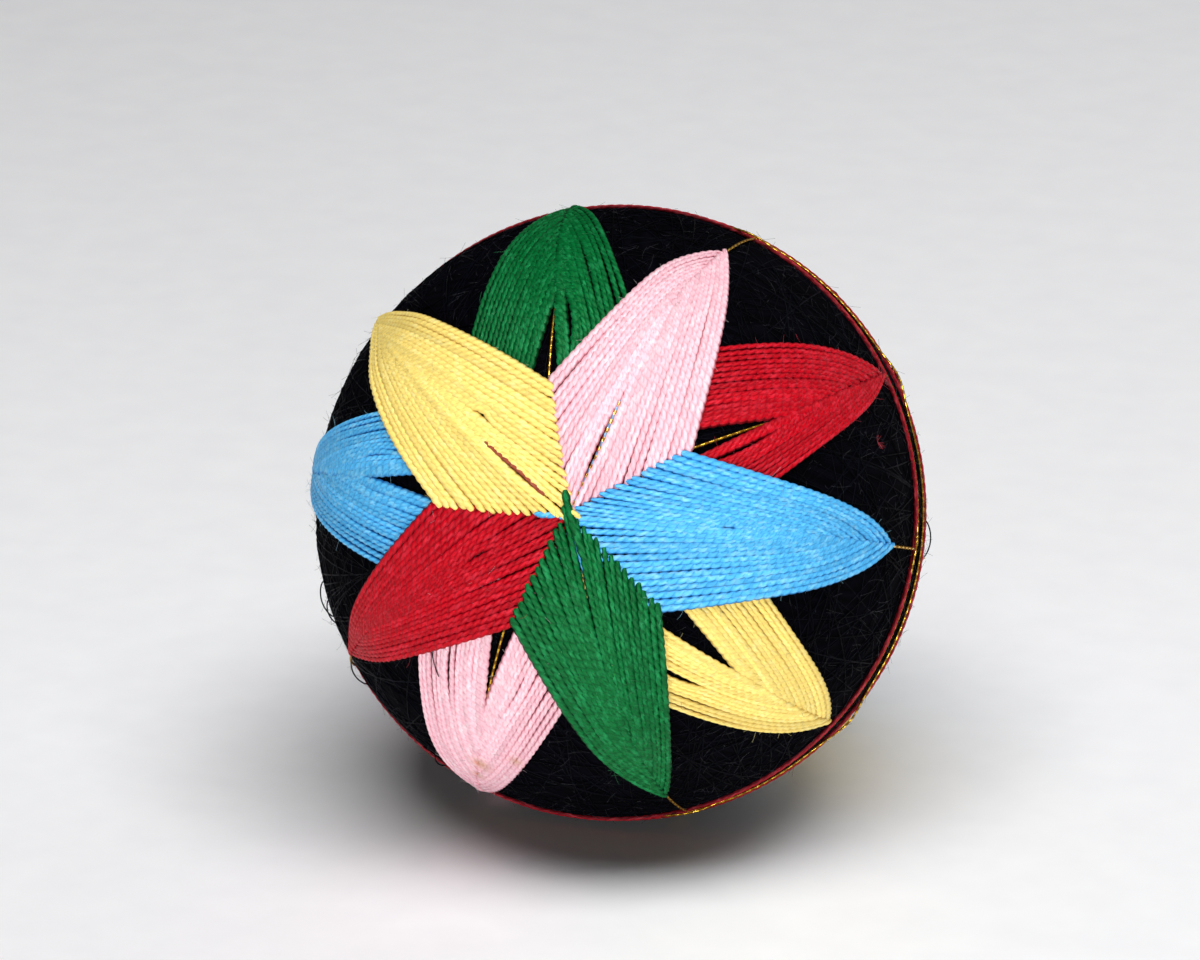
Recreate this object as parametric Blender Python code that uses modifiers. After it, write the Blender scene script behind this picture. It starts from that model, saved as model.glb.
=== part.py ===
"""A temari ball: a ball wound with black thread, stitched front and back with a flower of ten thread petals,
and wrapped around its middle with a narrow band.

Units are metres, +Z is up, and the origin is the middle of the small flat spot that the ball rests on. The
flower's pole on the front faces -Y and is tilted up. Places on the ball are given by a colatitude, counted from
the pole of the nearer flower, and an azimuth around the pole, 0 towards +X and 90 upwards, in degrees.
"""

import math

import bmesh
import bpy
from mathutils import Matrix, Vector

MM = 0.001

# The wound ball
BALL_RADIUS = 37.2 * MM
CENTRE_HEIGHT = 37.0 * MM  # a little under the radius, which leaves the flat spot
BALL_STEPS_AROUND = 40
BALL_STEPS_DOWN = 18

# The flowers
POLE_ELEVATION = 23.3  # how far the front pole is tilted up, in degrees
THREAD_LAYER = 0.75 * MM  # thickness of one layer of stitched thread
LOWER_LAYER_RADIUS = 37.5 * MM  # inner side of the petals that lie on the ball
UPPER_LAYER_RADIUS = 38.55 * MM  # inner side of the petals where they cross the lower ones
UPPER_RAISED_TO = 52.0  # colatitude up to which an upper petal lies on the lower ones
UPPER_DOWN_AT = 64.0  # colatitude from which it lies on the ball
SEAM_SHARE = 0.014  # share of a petal's side left free towards its neighbour
KITE_CELLS = 8
CHEVRON_CELLS_ALONG = 12
CHEVRON_CELLS_ACROSS = 5

# No petal comes nearer than this to the lowest point, in degrees seen from the centre, and so none is on the floor
FLOOR_CLEARANCE = 16.8

# The band around the middle
BAND_THREAD_RADIUS = 0.45 * MM
BAND_CENTRE_RADIUS = 37.97 * MM
BAND_STEPS_AROUND = 44
BAND_STEPS_ACROSS = 5

COLOURS = {  # linear RGB, from the stitched threads
    "black": (0.004, 0.004, 0.007),
    "pink": (0.87, 0.50, 0.57),
    "blue": (0.11, 0.45, 0.82),
    "green": (0.006, 0.19, 0.045),
    "red": (0.56, 0.012, 0.025),
    "yellow": (0.89, 0.70, 0.24),
    "gold": (0.58, 0.36, 0.06),
    "band_red": (0.40, 0.010, 0.020),
}

# One row for each upper petal, clockwise: colour, azimuth and colatitude of its tip, and the same of the corner
# that it shares with the petal after it.
FRONT_CENTRE = (338.0, 4.2)  # azimuth and colatitude of the point where the petals meet
FRONT_UPPER = (
    # colour, tip_azimuth, tip_colatitude, corner_azimuth, corner_colatitude
    ("pink", 68.0, 68.5, 25.5, 27.0),
    ("blue", 358.5, 74.0, 320.5, 28.0),
    ("green", 289.5, 70.5, 256.5, 23.5),
    ("red", 215.5, 67.5, 184.0, 22.5),
    ("yellow", 145.5, 76.5, 99.0, 22.5),
)

# One row for each lower petal, clockwise: colour, azimuth and colatitude of its tip, and the colatitude at which
# its open wedge ends.
FRONT_LOWER = (
    # colour, tip_azimuth, tip_colatitude, wedge_colatitude
    ("green", 103.0, 83.5, 40.5),
    ("red", 31.5, 83.5, 44.0),
    ("yellow", 319.5, 83.5, 49.5),
    ("pink", 251.0, 83.5, 41.0),
    ("blue", 177.5, 83.5, 39.0),
)
LOWER_START = 9.4  # colatitude where the inner side of a lower petal starts
LOWER_CORNER = 30.0  # and where its outer side starts

# The back is stitched evenly: a petal every 36 degrees, upper and lower by turns.
BACK_CENTRE = (0.0, 0.0)
BACK_FIRST_AZIMUTH = 69.0
BACK_STEP = 72.0
BACK_UPPER_TIP = 69.0
BACK_UPPER_CORNER = 24.0
BACK_LOWER_TIP = 82.0
BACK_WEDGE = 43.0

# The band's threads, from the front to the back: name, colour and colatitude from the front pole.
BAND = (
    ("band_red_front", "band_red", 85.6),
    ("band_gold_front", "gold", 87.8),
    ("band_gold_back", "gold", 91.8),
    ("band_red_back", "band_red", 94.0),
)

CENTRE = Vector((0.0, 0.0, CENTRE_HEIGHT))
DOWN = Vector((0.0, 0.0, -1.0))
POLE = Vector((0.0, -math.cos(math.radians(POLE_ELEVATION)), math.sin(math.radians(POLE_ELEVATION))))
SIDE = Vector((1.0, 0.0, 0.0))
RISE = POLE.cross(SIDE)


def clear_scene():
    for thing in list(bpy.data.objects):
        bpy.data.objects.remove(thing, do_unlink=True)


def thread_material(colour):
    material = bpy.data.materials.new(f"{colour}_thread")
    material.use_nodes = True
    shader = material.node_tree.nodes["Principled BSDF"]
    shader.inputs["Base Color"].default_value = (*COLOURS[colour], 1.0)
    shader.inputs["Roughness"].default_value = 0.3 if colour == "gold" else 0.55
    shader.inputs["Metallic"].default_value = 0.8 if colour == "gold" else 0.0
    return material


def add_piece(name, mesh, material, collection):
    piece = bpy.data.objects.new(name, mesh)
    collection.objects.link(piece)
    mesh.materials.append(material)
    mesh.shade_smooth()
    return piece


def place_on_ball(azimuth, colatitude, pole_sign):
    """The direction from the ball's centre to a place near the front pole (+1) or the back pole (-1)."""
    around, down = math.radians(azimuth), math.radians(colatitude)
    out = SIDE * math.cos(around) + RISE * math.sin(around)
    return out * math.sin(down) + POLE * pole_sign * math.cos(down)


def between(start, end, share):
    """The direction at that share of the way along the great circle from one direction to another."""
    return start.lerp(end, share).normalized()


def clear_of_floor(direction):
    """The direction itself, or the nearest one that keeps a petal off the floor."""
    least = math.radians(FLOOR_CLEARANCE)
    angle = direction.angle(DOWN)
    if angle >= least:
        return direction
    axis = DOWN.cross(direction).normalized()
    return Matrix.Rotation(least, 3, axis) @ DOWN


def upper_radius(direction):
    """An upper petal lies on the lower ones near the pole, and comes down onto the ball towards its tip."""
    colatitude = math.degrees(min(direction.angle(POLE), direction.angle(-POLE)))
    share = (colatitude - UPPER_RAISED_TO) / (UPPER_DOWN_AT - UPPER_RAISED_TO)
    share = min(max(share, 0.0), 1.0)
    eased = share * share * (3.0 - 2.0 * share)
    return UPPER_LAYER_RADIUS + (LOWER_LAYER_RADIUS - UPPER_LAYER_RADIUS) * eased


def stitched_layer(name, cells, direction_at, radius_at, material, collection):
    """A layer of thread: a grid laid on the ball by direction_at, which takes two shares from 0 to 1."""
    bm = bmesh.new()
    bmesh.ops.create_grid(bm, x_segments=cells[0], y_segments=cells[1], size=1.0)
    for vertex in bm.verts:
        direction = clear_of_floor(direction_at((vertex.co.x + 1.0) / 2.0, (vertex.co.y + 1.0) / 2.0))
        vertex.co = CENTRE + direction * radius_at(direction)
    bm.normal_update()
    middle = bm.faces[:][len(bm.faces) // 2]
    if middle.normal.dot(middle.calc_center_median() - CENTRE) < 0.0:
        bmesh.ops.reverse_faces(bm, faces=bm.faces[:])
    mesh = bpy.data.meshes.new(name)
    bm.to_mesh(mesh)
    bm.free()
    piece = add_piece(name, mesh, material, collection)
    solidify = piece.modifiers.new("thread_thickness", "SOLIDIFY")
    solidify.thickness = THREAD_LAYER
    solidify.offset = 1.0
    return piece


def upper_petal(name, centre, corner_before, tip, corner_after, material, collection):
    """A kite between the flower's centre, its tip and the corners it shares with its neighbours."""

    def direction_at(across, along):
        across = SEAM_SHARE + across * (1.0 - SEAM_SHARE)
        along = SEAM_SHARE + along * (1.0 - SEAM_SHARE)
        near_side = centre.lerp(corner_before, across)
        far_side = corner_after.lerp(tip, across)
        return near_side.lerp(far_side, along).normalized()

    return stitched_layer(name, (KITE_CELLS, KITE_CELLS), direction_at, upper_radius, material, collection)


def lower_petal(name, before, tip, after, wedge_end, material, collection):
    """A chevron whose two legs run from the tip to the meridians of the upper petals on either side. before and
    after each hold the start of a leg's inner side and of its outer side."""

    def direction_at(along, outward):
        start_inner, start_outer = before if along < 0.5 else after
        leg_share = abs(2.0 * along - 1.0) * (1.0 - SEAM_SHARE)
        middle = between(wedge_end, tip, outward)
        start = between(start_inner, start_outer, outward)
        return between(middle, start, leg_share)

    cells = (CHEVRON_CELLS_ALONG, CHEVRON_CELLS_ACROSS)
    return stitched_layer(name, cells, direction_at, lambda _: LOWER_LAYER_RADIUS, material, collection)


def wound_ball(material, collection):
    """A turned half outline: an arc from the top down to the flat spot, and the flat spot itself."""
    flat_angle = math.acos(CENTRE_HEIGHT / BALL_RADIUS)
    arc = math.pi - flat_angle
    bm = bmesh.new()
    outline = []
    for step in range(BALL_STEPS_DOWN + 1):
        angle = arc * step / BALL_STEPS_DOWN
        x, z = BALL_RADIUS * math.sin(angle), CENTRE_HEIGHT + BALL_RADIUS * math.cos(angle)
        outline.append(bm.verts.new((x, 0.0, z)))
    outline[-1].co.z = 0.0
    outline.append(bm.verts.new((0.0, 0.0, 0.0)))
    for upper, lower in zip(outline, outline[1:]):
        bm.edges.new((upper, lower))
    mesh = bpy.data.meshes.new("wound_ball")
    bm.to_mesh(mesh)
    bm.free()
    ball = add_piece("wound_ball", mesh, material, collection)
    turn = ball.modifiers.new("turn", "SCREW")
    turn.steps = BALL_STEPS_AROUND
    turn.render_steps = BALL_STEPS_AROUND
    turn.use_merge_vertices = True
    turn.merge_threshold = 0.00001
    return ball


def band_thread(name, colatitude, material, collection):
    """One ring of the band, a torus around the flowers' axis."""
    down = math.radians(colatitude)
    bpy.ops.mesh.primitive_torus_add(
        major_segments=BAND_STEPS_AROUND,
        minor_segments=BAND_STEPS_ACROSS,
        major_radius=BAND_CENTRE_RADIUS * math.sin(down),
        minor_radius=BAND_THREAD_RADIUS,
    )
    ring = bpy.context.object
    ring.name = name
    ring.location = CENTRE + POLE * BAND_CENTRE_RADIUS * math.cos(down)
    ring.rotation_euler = POLE.to_track_quat("Z", "Y").to_euler()
    ring.data.materials.append(material)
    ring.data.shade_smooth()
    for holder in list(ring.users_collection):
        holder.objects.unlink(ring)
    collection.objects.link(ring)
    return ring


def front_flower(materials, collection):
    centre = place_on_ball(*FRONT_CENTRE, 1)
    for number, (colour, tip_azimuth, tip_colatitude, after_azimuth, after_colatitude) in enumerate(FRONT_UPPER):
        before_azimuth, before_colatitude = FRONT_UPPER[number - 1][3:]
        upper_petal(
            f"front_upper_{colour}",
            centre,
            place_on_ball(before_azimuth, before_colatitude, 1),
            place_on_ball(tip_azimuth, tip_colatitude, 1),
            place_on_ball(after_azimuth, after_colatitude, 1),
            materials[colour],
            collection,
        )
    for number, (colour, tip_azimuth, tip_colatitude, wedge_colatitude) in enumerate(FRONT_LOWER):
        legs = []
        for upper in (FRONT_UPPER[number - 1], FRONT_UPPER[number]):
            azimuth = upper[1]
            inner, outer = place_on_ball(azimuth, LOWER_START, 1), place_on_ball(azimuth, LOWER_CORNER, 1)
            legs.append((inner, outer))
        lower_petal(
            f"front_lower_{colour}",
            legs[0],
            place_on_ball(tip_azimuth, tip_colatitude, 1),
            legs[1],
            place_on_ball(tip_azimuth, wedge_colatitude, 1),
            materials[colour],
            collection,
        )


def back_flower(materials, collection):
    centre = place_on_ball(*BACK_CENTRE, -1)
    half_step = BACK_STEP / 2.0
    for number, row in enumerate(FRONT_UPPER):
        azimuth = BACK_FIRST_AZIMUTH - number * BACK_STEP
        upper_petal(
            f"back_upper_{row[0]}",
            centre,
            place_on_ball(azimuth + half_step, BACK_UPPER_CORNER, -1),
            place_on_ball(azimuth, BACK_UPPER_TIP, -1),
            place_on_ball(azimuth - half_step, BACK_UPPER_CORNER, -1),
            materials[row[0]],
            collection,
        )
    for number, row in enumerate(FRONT_LOWER):
        azimuth = BACK_FIRST_AZIMUTH + half_step - number * BACK_STEP
        legs = []
        for side in (half_step, -half_step):
            inner = place_on_ball(azimuth + side, LOWER_START, -1)
            legs.append((inner, place_on_ball(azimuth + side, LOWER_CORNER, -1)))
        lower_petal(
            f"back_lower_{row[0]}",
            legs[0],
            place_on_ball(azimuth, BACK_LOWER_TIP, -1),
            legs[1],
            place_on_ball(azimuth, BACK_WEDGE, -1),
            materials[row[0]],
            collection,
        )


def main():
    clear_scene()
    collection = bpy.data.collections.new("temari_ball")
    bpy.context.scene.collection.children.link(collection)
    materials = {colour: thread_material(colour) for colour in COLOURS}
    wound_ball(materials["black"], collection)
    front_flower(materials, collection)
    back_flower(materials, collection)
    for name, colour, colatitude in BAND:
        band_thread(name, colatitude, materials[colour], collection)


main()
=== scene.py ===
import math

import bpy
import numpy as np
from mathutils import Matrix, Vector


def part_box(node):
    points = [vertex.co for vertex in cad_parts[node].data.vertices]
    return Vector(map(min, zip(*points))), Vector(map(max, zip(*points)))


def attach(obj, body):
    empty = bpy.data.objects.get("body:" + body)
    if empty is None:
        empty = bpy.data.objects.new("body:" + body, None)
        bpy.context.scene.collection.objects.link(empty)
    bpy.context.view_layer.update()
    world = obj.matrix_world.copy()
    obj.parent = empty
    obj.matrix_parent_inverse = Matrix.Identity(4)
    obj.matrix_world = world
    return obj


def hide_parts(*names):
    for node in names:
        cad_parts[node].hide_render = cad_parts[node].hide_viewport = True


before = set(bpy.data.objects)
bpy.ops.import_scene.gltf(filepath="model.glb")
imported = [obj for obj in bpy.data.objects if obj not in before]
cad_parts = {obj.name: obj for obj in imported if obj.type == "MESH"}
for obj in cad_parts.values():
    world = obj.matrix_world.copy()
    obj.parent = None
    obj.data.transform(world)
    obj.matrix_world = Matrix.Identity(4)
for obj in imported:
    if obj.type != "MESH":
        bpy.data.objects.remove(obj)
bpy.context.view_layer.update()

# ----------------------------------------------------------------------------------------------------------
# The camera: a long lens a metre away, a little above the ball and to the right of its front pole. The ball
# sits slightly right of and below the middle of the frame.
# ----------------------------------------------------------------------------------------------------------
MM = 0.001
ball_low, ball_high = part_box("wound_ball")
CAD_RADIUS = (ball_high.x - ball_low.x) / 2
CENTRE = np.array([0.0, 0.0, ball_high.z - CAD_RADIUS])

CAMERA_AZIMUTH = math.radians(14.1)
CAMERA_ELEVATION = math.radians(22.0)
CAMERA_DISTANCE = 1.0
CAMERA_CLIP = 0.05
AIM_LEFT, AIM_UP = 2.46 * MM, 4.05 * MM
LENS, SENSOR_WIDTH = 244.2, 36.0  # in millimetres, as the camera takes them

to_camera = Vector((
    math.sin(CAMERA_AZIMUTH) * math.cos(CAMERA_ELEVATION),
    -math.cos(CAMERA_AZIMUTH) * math.cos(CAMERA_ELEVATION),
    math.sin(CAMERA_ELEVATION),
))
camera_right = Vector((math.cos(CAMERA_AZIMUTH), math.sin(CAMERA_AZIMUTH), 0.0))
camera_up = to_camera.cross(camera_right)
camera = bpy.data.objects.new("camera", bpy.data.cameras.new("camera"))
camera.data.lens = LENS
camera.data.sensor_width = SENSOR_WIDTH
camera.data.clip_start = CAMERA_CLIP
camera.location = Vector(CENTRE) - AIM_LEFT * camera_right + AIM_UP * camera_up + to_camera * CAMERA_DISTANCE
camera.rotation_euler = to_camera.to_track_quat("Z", "Y").to_euler()
bpy.context.scene.collection.objects.link(camera)
bpy.context.scene.camera = camera
# The Standard view keeps the threads' colours as bright and clear as they are written here.
bpy.context.scene.view_settings.view_transform = "Standard"

# ----------------------------------------------------------------------------------------------------------
# The wound ball: layers of fine black polyester thread, wound tight in every direction over a soft core.
# Its last turns are real threads here, arcs of great circles that cross at all angles, over a ground of
# finer turns.
# ----------------------------------------------------------------------------------------------------------
BALL_RADIUS = 37.3 * MM
GROUND_SEGMENTS, GROUND_RINGS = 128, 64
GROUND_RIDGE = 1.2566 * MM  # the thread is about 0.2 mm thick; the ground's turns are drawn coarser, to show
GROUND_PATCH = 11.11 * MM  # how wide a layer's turns show before another layer covers them
GROUND_TILTS = ((0.3, 0.9, 0.2), (1.2, -0.4, 0.7), (-0.8, 0.5, 1.6), (2.1, 1.3, -0.5))  # one for each layer
WINDING_TURNS = 300
WINDING_HALF_WIDTH = 0.1 * MM
WINDING_STEP = 4.2 * MM
TURN_LENGTHS = (0.35, 1.0)  # shares of the way around the ball
TURN_HEIGHTS = (0.02, 0.13)  # mm above the ground
TURN_WAVER, TURN_LEAN = 0.03 * MM, 0.012  # how far a turn wavers up and down, and sideways as an angle
TURN_END_DEPTH = 0.3 * MM
PLY_OFFSET, PLY_SIZE = 0.2, 0.81  # where a ply's middle is, and its radius, as shares of the thread's
FLOOR_GAP = 0.02 * MM  # the threads under the ball are pressed flat above this height
random = np.random.default_rng(7)


def unit(vectors):
    return vectors / np.linalg.norm(vectors, axis=-1, keepdims=True)


def ring_axis():
    """The flowers' axis, from the band's back thread to its front one."""
    ends = []
    for name in ("band_red_back", "band_red_front"):
        ends.append(np.mean([vertex.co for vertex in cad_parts[name].data.vertices], axis=0))
    return unit(ends[1] - ends[0])


POLE = ring_axis()
SIDE = unit(np.cross((0.0, 0.0, 1.0), POLE))
RISE = np.cross(POLE, SIDE)


def length_along(path):
    """How far along a path each of its points lies."""
    return np.concatenate([[0.0], np.cumsum(np.linalg.norm(np.diff(path, axis=0), axis=1))])


def ply_tube(path, across, up, half_width, half_height, sides, shade):
    """One closed tube along a path, with a row of corners at each of its points. Its uv runs once around
    it, and along it in millimetres."""
    count = len(path)
    along = length_along(path)
    angle = np.linspace(0.0, 2.0 * math.pi, sides, endpoint=False)
    width = np.broadcast_to(half_width, count)[:, None] * np.cos(angle)
    height = np.broadcast_to(half_height, count)[:, None] * np.sin(angle)
    points = path[:, None, :] + width[..., None] * across[:, None, :] + height[..., None] * up[:, None, :]
    row = np.arange(count - 1)[:, None] * sides
    here, following = np.arange(sides)[None, :], np.roll(np.arange(sides), -1)[None, :]
    quads = np.stack([row + here, row + sides + here, row + sides + following, row + following], -1)
    edge = np.arange(sides) / sides
    u = np.stack([edge, edge, edge + 1.0 / sides, edge + 1.0 / sides], -1)[None].repeat(count - 1, 0)
    v = np.stack([along[:-1], along[1:], along[1:], along[:-1]], -1)[:, None, :].repeat(sides, 1) / MM
    caps = np.stack([np.arange(sides), (count - 1) * sides + np.arange(sides)[::-1]])
    return {
        "points": points.reshape(-1, 3),
        "quads": quads.reshape(-1, 4),
        "caps": caps,
        "uv": np.stack([u, v], -1).reshape(-1, 2),
        "shade": np.full(count * sides, shade),
    }


def thread(path, half_width, half_height, sides, shade, turn=None):
    """A thread laid along a path on the ball: two plies, twisted together to the left, one turn in every
    length called turn, or a single strand where there is none. half_width and half_height are those of the
    whole thread, one number or one for each point."""
    tangent = unit(np.gradient(path, axis=0))
    across = unit(np.cross(tangent, unit(path - CENTRE)))
    up = np.cross(across, tangent)
    if turn is None:
        return [ply_tube(path, across, up, half_width, half_height, sides, shade)]
    along = length_along(path)
    tubes = []
    for half_turn in (0.0, 0.5):
        phase = 2.0 * math.pi * (along / turn + shade + half_turn)
        sideways = (np.cos(phase) * half_width * PLY_OFFSET)[:, None] * across
        upwards = (np.sin(phase) * half_height * PLY_OFFSET)[:, None] * up
        widths = (half_width * PLY_SIZE, half_height * PLY_SIZE)
        tubes.append(ply_tube(path + sideways + upwards, across, up, *widths, sides, shade))
    return tubes


def joined_threads(name, threads, material, stains=()):
    """One mesh of many threads. shade is a number for each thread, and stain says how stained each point
    is."""
    starts = np.cumsum([0] + [len(tube["points"]) for tube in threads])
    points = np.concatenate([tube["points"] for tube in threads])
    points[:, 2] = np.maximum(points[:, 2], FLOOR_GAP)
    quads = np.concatenate([tube["quads"] + start for tube, start in zip(threads, starts)])
    caps = np.concatenate([tube["caps"] + start for tube, start in zip(threads, starts)])
    sides = caps.shape[1]
    corners = np.concatenate([quads.ravel(), caps.ravel()]).astype(np.int32)
    first = np.concatenate([
        np.arange(len(quads)) * 4,
        len(quads) * 4 + np.arange(len(caps)) * sides,
    ]).astype(np.int32)
    uv = np.concatenate([tube["uv"] for tube in threads] + [np.zeros((caps.size, 2))])
    mesh = bpy.data.meshes.new(name)
    mesh.vertices.add(len(points))
    mesh.vertices.foreach_set("co", points.astype(np.float32).ravel())
    mesh.loops.add(len(corners))
    mesh.loops.foreach_set("vertex_index", corners)
    mesh.polygons.add(len(first))
    mesh.polygons.foreach_set("loop_start", first)
    mesh.update(calc_edges=True)
    layer = mesh.uv_layers.new(name="thread")
    layer.uv.foreach_set("vector", uv.astype(np.float32).ravel())
    shade = mesh.attributes.new("shade", "FLOAT", "POINT")
    shade.data.foreach_set("value", np.concatenate([tube["shade"] for tube in threads]).astype(np.float32))
    stained = np.zeros(len(points))
    for place, radius, strength in stains:
        away = np.linalg.norm(points - place, axis=1) / radius
        stained = np.maximum(stained, strength * np.exp(-away * away))
    stain = mesh.attributes.new("stain", "FLOAT", "POINT")
    stain.data.foreach_set("value", stained.astype(np.float32))
    mesh.shade_smooth()
    mesh.materials.append(material)
    piece = bpy.data.objects.new(name, mesh)
    bpy.context.scene.collection.objects.link(piece)
    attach(piece, "root")
    return piece


def srgb(hex_colour):
    """The linear colour of an sRGB hex value."""
    channels = [int(hex_colour[i:i + 2], 16) / 255 for i in (0, 2, 4)]
    return (*[c / 12.92 if c <= 0.04045 else ((c + 0.055) / 1.055) ** 2.4 for c in channels], 1.0)


def add_node(tree, kind, settings=(), links=()):
    """Adds a node. A setting is a property of the node or the value of an input, and a link feeds an
    input."""
    made = tree.nodes.new("ShaderNode" + kind)
    for name, value in dict(settings).items():
        if isinstance(name, str) and hasattr(made, name):
            setattr(made, name, value)
        else:
            made.inputs[name].default_value = value
    for name, source in dict(links).items():
        tree.links.new(source, made.inputs[name])
    return made


def new_material(name):
    """A material with its tree and its shader, still empty."""
    material = bpy.data.materials.new(name)
    material.use_nodes = True
    return material, material.node_tree, material.node_tree.nodes["Principled BSDF"]


def black_polyester_winding():
    """Spun polyester thread, dyed black, with nearly no gloss of its own: each turn is painted a cooler,
    lighter black along its ridge as painted sheen, and darker between the turns as painted shade. The layers'
    turns show in patches. A wave's ridges are a tenth of pi apart at scale 1."""
    material, tree, shader = new_material("black_polyester_winding")
    place = add_node(tree, "TexCoord").outputs["Object"]
    patch = add_node(tree, "TexNoise", {"Scale": 1.0 / GROUND_PATCH, "Detail": 1.0}, {"Vector": place})
    ridges = {"Scale": math.pi / 10.0 / GROUND_RIDGE, "Distortion": 0.6, "Detail": 1.0}
    lines = None
    for number, tilt in enumerate(GROUND_TILTS):
        turned = add_node(tree, "Mapping", {"Rotation": tilt}, {"Vector": place})
        wave = add_node(tree, "TexWave", ridges, {"Vector": turned.outputs["Vector"]})
        if lines is None:
            lines = wave.outputs["Fac"]
            continue
        edge = 0.36 + 0.1 * number
        ranges = {"From Min": edge, "From Max": edge + 0.03}
        chosen = add_node(tree, "MapRange", ranges, {"Value": patch.outputs["Fac"]})
        mixed = add_node(tree, "Mix", {}, {0: chosen.outputs["Result"], 2: lines, 3: wave.outputs["Fac"]})
        lines = mixed.outputs[0]
    # painted sheen and shade: a lighter, cooler black on the turns' ridges, a darker one between them
    colour = add_node(tree, "Mix", {"data_type": "RGBA", 6: srgb("010103"), 7: srgb("040409")}, {0: lines})
    bump = add_node(tree, "Bump", {"Strength": 0.8, "Distance": 0.08 * MM}, {"Height": lines})
    tree.links.new(colour.outputs[2], shader.inputs["Base Color"])
    tree.links.new(bump.outputs["Normal"], shader.inputs["Normal"])
    shader.inputs["Roughness"].default_value = 0.9
    shader.inputs["IOR"].default_value = 1.57
    shader.inputs["Specular IOR Level"].default_value = 0.02
    return material


def black_polyester_thread():
    """The turns on top: the same thread, each a little lighter or darker than the next, with a fibrous
    surface. Its fibres are drawn about 0.1 mm wide and long, coarser than they are."""
    material, tree, shader = new_material("black_polyester_thread")
    shade = add_node(tree, "Attribute", {"attribute_name": "shade"})
    colour = add_node(tree, "ValToRGB", {}, {"Fac": shade.outputs["Fac"]})
    colour.color_ramp.elements[0].color = srgb("010103")
    colour.color_ramp.elements[1].color = srgb("06070F")
    uv = add_node(tree, "UVMap", {"uv_map": "thread"})
    stretched = add_node(tree, "Mapping", {"Scale": (5.0, 9.0, 1.0)}, {"Vector": uv.outputs["UV"]})
    fibre = add_node(tree, "TexNoise", {"Scale": 1.0, "Detail": 2.0}, {"Vector": stretched.outputs["Vector"]})
    bump = add_node(tree, "Bump", {"Strength": 0.6, "Distance": 0.03 * MM}, {"Height": fibre.outputs["Fac"]})
    tree.links.new(colour.outputs["Color"], shader.inputs["Base Color"])
    tree.links.new(bump.outputs["Normal"], shader.inputs["Normal"])
    shader.inputs["Roughness"].default_value = 0.5
    shader.inputs["IOR"].default_value = 1.57
    shader.inputs["Specular IOR Level"].default_value = 0.03
    return material


bpy.ops.mesh.primitive_uv_sphere_add(
    segments=GROUND_SEGMENTS, ring_count=GROUND_RINGS, radius=BALL_RADIUS, location=CENTRE,
)
ball = bpy.context.object
ball.name = "wound_ball_ground"
bpy.ops.object.transform_apply(location=True, rotation=False, scale=False)
for vertex in ball.data.vertices:
    vertex.co.z = max(vertex.co.z, 0.0)
ball.data.shade_smooth()
ball.data.materials.append(black_polyester_winding())
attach(ball, "root")
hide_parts("wound_ball")

turns = []
for _ in range(WINDING_TURNS):
    axis = unit(random.normal(size=3))
    first = unit(np.cross(axis, random.normal(size=3)))
    second = np.cross(axis, first)
    arc = random.uniform(*TURN_LENGTHS) * 2.0 * math.pi
    steps = max(8, int(arc * BALL_RADIUS / WINDING_STEP))
    angle = np.linspace(0.0, arc, steps)
    height = random.uniform(*TURN_HEIGHTS) * MM
    radius = BALL_RADIUS + height + TURN_WAVER * np.sin(angle * random.uniform(2, 5))
    radius[[0, -1]] = BALL_RADIUS - TURN_END_DEPTH
    lean = TURN_LEAN * np.sin(angle * random.uniform(1, 3) + random.uniform(0, 6))
    ways = unit(np.cos(angle)[:, None] * first + np.sin(angle)[:, None] * second + lean[:, None] * axis)
    path = CENTRE + ways * radius[:, None]
    half = WINDING_HALF_WIDTH * random.uniform(0.7, 1.25)
    turns += thread(path, half, half * 0.8, 3, random.uniform())
black_thread = black_polyester_thread()
winding = joined_threads("winding_turns", turns, black_thread)
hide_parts("wound_ball")

# ----------------------------------------------------------------------------------------------------------
# The lower petals: five fields of two-ply mercerised pearl cotton on each face. Each round of thread is a
# V, laid from the inside outwards, with its ends under the upper petals and its point stitched down on a
# guide thread.
# ----------------------------------------------------------------------------------------------------------
THREAD_HALF_WIDTH = 0.56 * MM
THREAD_HALF_HEIGHT = 0.34 * MM
NARROWEST, WIDEST = 0.28 * MM, 1.25 * THREAD_HALF_WIDTH
FLATTEST, ROUNDEST = 0.3 * MM, 0.4 * MM  # half-heights
THREAD_TURN = 2.4 * MM
LOWER_RADIUS = 37.5 * MM + THREAD_HALF_HEIGHT
LAYER_RISE = 0.62 * MM  # how far the lower petals lift the upper ones
FRONT_STEP, BACK_STEP = 0.36 * MM, 0.8 * MM  # between two points along a thread
LOWER_ROUNDS, BACK_ROUNDS = 15, 12
SWAY, SWAY_LENGTH = 0.05 * MM, 4.0 * MM  # how little a taut thread wanders sideways, and over what length
LIFT_LENGTH = 2.6 * MM  # how long an end's way over its neighbours is
DIP_DEPTH, DIP_LENGTH = 0.55 * MM, 0.5 * MM  # where an end enters the ball
TAPER_PLACES, TAPER = (0.0, 0.25 * MM, 1.1 * MM), (0.3, 0.66, 1.0)  # how an end narrows, by its last lengths
BEFORE_TURN, AFTER_TURN = (0.35 * MM, -0.15 * MM), (0.75 * MM, 0.12 * MM)  # past the apex: length and lift
LONGEST_RUN_ON = 0.35  # mm that an end may run on past its seam
REACH_LIFT = 0.22  # how far a thread that reaches over its seam rises, for each millimetre of reach
LOWER_JITTER = 0.2  # how uneven the stitches are, as a share of a round
APEX_JITTER = 0.6  # how much less uneven they are at the apex
START_PLACE, APEX_PLACE = 0.5, 0.55  # where in its round a leg starts and ends
WIDTH_SHARE = 0.7  # a thread's half-width, as a share of the gap that it fills
WIDTH_RANGE = (0.93, 1.07)
BULGE_POWER = 2.4  # puts the bulge's widest place at three quarters of the way to the tip
SLIT_FADE = 2.2  # rounds, over which the threads beside a slit close up again
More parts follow.
